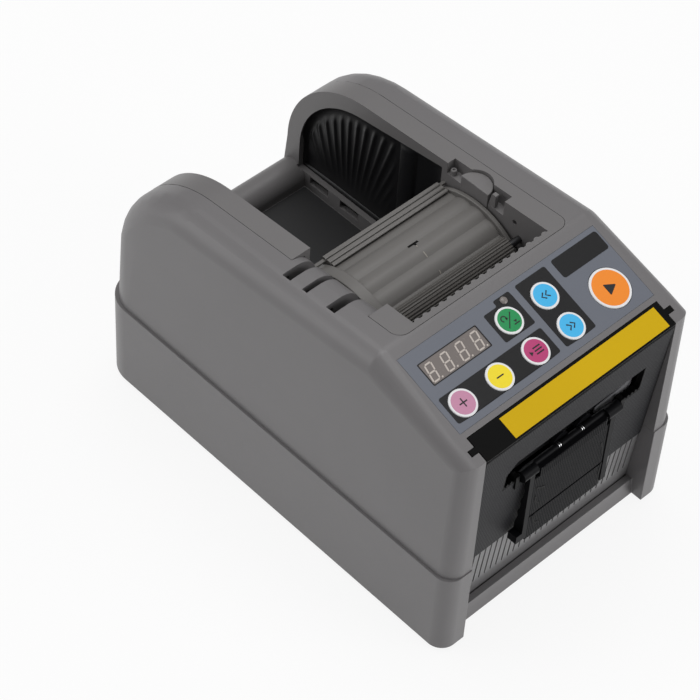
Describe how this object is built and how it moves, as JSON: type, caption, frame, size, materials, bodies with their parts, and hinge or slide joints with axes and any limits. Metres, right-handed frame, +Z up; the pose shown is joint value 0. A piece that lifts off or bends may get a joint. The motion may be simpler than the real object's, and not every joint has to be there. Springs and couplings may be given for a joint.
{
  "type": "electric tape dispenser",
  "caption": "Counter-top electric tape dispenser: grey housing with an open roll well, lobed guide drum, sloped key panel with digit display, and black cutter cover with outlet.",
  "frame": {"origin": "centre of the base's footprint, on the surface that the feet stand on", "axes": "+X to the right as seen from the front, +Y from the front to the rear, +Z up"},
  "size_m": [0.126, 0.2, 0.1248],
  "materials": {
    "housing": "fine satin texture",
    "lower_panel": "satin",
    "drum_grey": "satin",
    "cover_black": "fine ribbed satin",
    "guide_black": "semi-gloss",
    "side_black": "satin",
    "band_yellow": "printed film",
    "steel": "ground",
    "overlay": "printed film",
    "module_dark": "satin",
    "window_smoke": "smoked",
    "lamp_lens": "frosted",
    "key_pink": "satin",
    "key_yellow": "satin",
    "key_magenta": "satin",
    "key_green": "satin",
    "key_blue": "satin",
    "key_orange": "satin",
    "board_green": "solder mask",
    "switch_black": "satin",
    "zinc_plate": "zinc plated",
    "roller_dark": "ground",
    "roller_pale": "smooth",
    "gear_nylon": "natural",
    "bush_bronze": "sintered",
    "motor_can": "drawn can",
    "blade_bed": "machined",
    "blade_steel": "ground edge",
    "carriage_plastic": "glass filled",
    "foot_rubber": "matt"
  },
  "bodies": {
    "housing": {"base_tray": "housing", "upper_shell": "housing", "well_frame": "housing", "front_lower_panel": "lower_panel", "rear_guide_bar": "drum_grey", "axle_cap": "drum_grey", "cutter_cover": "cover_black", "left_side_plate": "side_black", "right_side_plate": "side_black", "cover_band": "band_yellow", "outlet_pins": "steel", "drum_axle": "steel", "guide_rods": "steel", "case_screws": "steel", "panel_overlay": "overlay", "display_module": "module_dark", "display_window": "window_smoke", "status_lamp": "lamp_lens", "control_board": "board_green", "power_board": "board_green", "tact_switches": "switch_black", "switch_body": "switch_black", "power_inlet": "switch_black", "left_chassis": "zinc_plate", "right_chassis": "zinc_plate", "press_springs": "zinc_plate", "feed_bushes": "bush_bronze", "feed_motor": "motor_can", "cutter_motor": "motor_can", "blade_bed": "blade_bed", "fixed_blade": "blade_steel", "rubber_feet": "foot_rubber"},
    "drum": {"guide_drum": "drum_grey", "drum_flanges": "drum_grey"},
    "pinch": {"pinch_roller": "drum_grey", "pinch_pin": "steel"},
    "feed": {"feed_roller": "roller_dark", "feed_shaft": "steel", "feed_gear": "gear_nylon"},
    "feed_drive": {"feed_pinion": "gear_nylon"},
    "press": {"press_roller": "roller_pale", "press_shaft": "steel"},
    "carriage": {"blade_carriage": "carriage_plastic", "moving_blade": "blade_steel"},
    "cutter_drive": {"cutter_pinion": "gear_nylon"},
    "guide": {"outlet_guide": "guide_black"},
    "rocker": {"power_rocker": "switch_black"},
    "plus_button": {"plus_key": "key_pink"},
    "minus_button": {"minus_key": "key_yellow"},
    "select_button": {"select_key": "key_magenta"},
    "mode_button": {"mode_key": "key_green"},
    "reverse_button": {"reverse_key": "key_blue"},
    "forward_button": {"forward_key": "key_blue"},
    "start_button": {"start_key": "key_orange"}
  },
  "joints": [
    {"name": "drum_spin", "type": "hinge", "parent": "housing", "child": "drum", "pos_m": [0, -0.01, 0.0835], "axis": [1, 0, 0], "continuous": true},
    {"name": "pinch_spin", "type": "hinge", "parent": "housing", "child": "pinch", "pos_m": [0, -0.0322, 0.11], "axis": [1, 0, 0], "continuous": true},
    {"name": "feed_spin", "type": "hinge", "parent": "housing", "child": "feed", "pos_m": [0, -0.072, 0.076], "axis": [1, 0, 0], "continuous": true},
    {"name": "feed_pinion_spin", "type": "hinge", "parent": "housing", "child": "feed_drive", "pos_m": [0, -0.06397, 0.05878], "axis": [1, 0, 0], "continuous": true},
    {"name": "press_spin", "type": "hinge", "parent": "housing", "child": "press", "pos_m": [0, -0.072, 0.0903], "axis": [1, 0, 0], "continuous": true},
    {"name": "cutter_slide", "type": "slide", "parent": "housing", "child": "carriage", "axis": [0, 0, -1], "range_m": [0, 0.007]},
    {"name": "cutter_pinion_turn", "type": "hinge", "parent": "housing", "child": "cutter_drive", "pos_m": [0, -0.079, 0.047], "axis": [1, 0, 0], "range_deg": [0, 58]},
    {"name": "guide_swing", "type": "hinge", "parent": "housing", "child": "guide", "pos_m": [0, -0.0961, 0.0774], "axis": [-1, 0, 0], "range_deg": [0, 40]},
    {"name": "power_rock", "type": "hinge", "parent": "housing", "child": "rocker", "pos_m": [0.025, 0.0968, 0.023], "axis": [-1, 0, 0], "range_deg": [0, 16]},
    {"name": "plus_press", "type": "slide", "parent": "housing", "child": "plus_button", "axis": [0, 0.3256, -0.9455], "range_m": [0, 0.0005], "stiffness_N_per_m": 600, "springref_m": -0.001},
    {"name": "minus_press", "type": "slide", "parent": "housing", "child": "minus_button", "axis": [0, 0.3256, -0.9455], "range_m": [0, 0.0005], "stiffness_N_per_m": 600, "springref_m": -0.001},
    {"name": "select_press", "type": "slide", "parent": "housing", "child": "select_button", "axis": [0, 0.3256, -0.9455], "range_m": [0, 0.0005], "stiffness_N_per_m": 600, "springref_m": -0.001},
    {"name": "mode_press", "type": "slide", "parent": "housing", "child": "mode_button", "axis": [0, 0.3256, -0.9455], "range_m": [0, 0.0005], "stiffness_N_per_m": 600, "springref_m": -0.001},
    {"name": "reverse_press", "type": "slide", "parent": "housing", "child": "reverse_button", "axis": [0, 0.3256, -0.9455], "range_m": [0, 0.0005], "stiffness_N_per_m": 600, "springref_m": -0.001},
    {"name": "forward_press", "type": "slide", "parent": "housing", "child": "forward_button", "axis": [0, 0.3256, -0.9455], "range_m": [0, 0.0005], "stiffness_N_per_m": 600, "springref_m": -0.001},
    {"name": "start_press", "type": "slide", "parent": "housing", "child": "start_button", "axis": [0, 0.3256, -0.9455], "range_m": [0, 0.0005], "stiffness_N_per_m": 600, "springref_m": -0.001}
  ],
  "couplings": [
    {"joint": "feed_pinion_spin", "follows": "feed_spin", "ratio": -2.1667},
    {"joint": "press_spin", "follows": "feed_spin", "ratio": -1.3333},
    {"joint": "cutter_pinion_turn", "follows": "cutter_slide", "rad_per_m": 142.86}
  ]
}
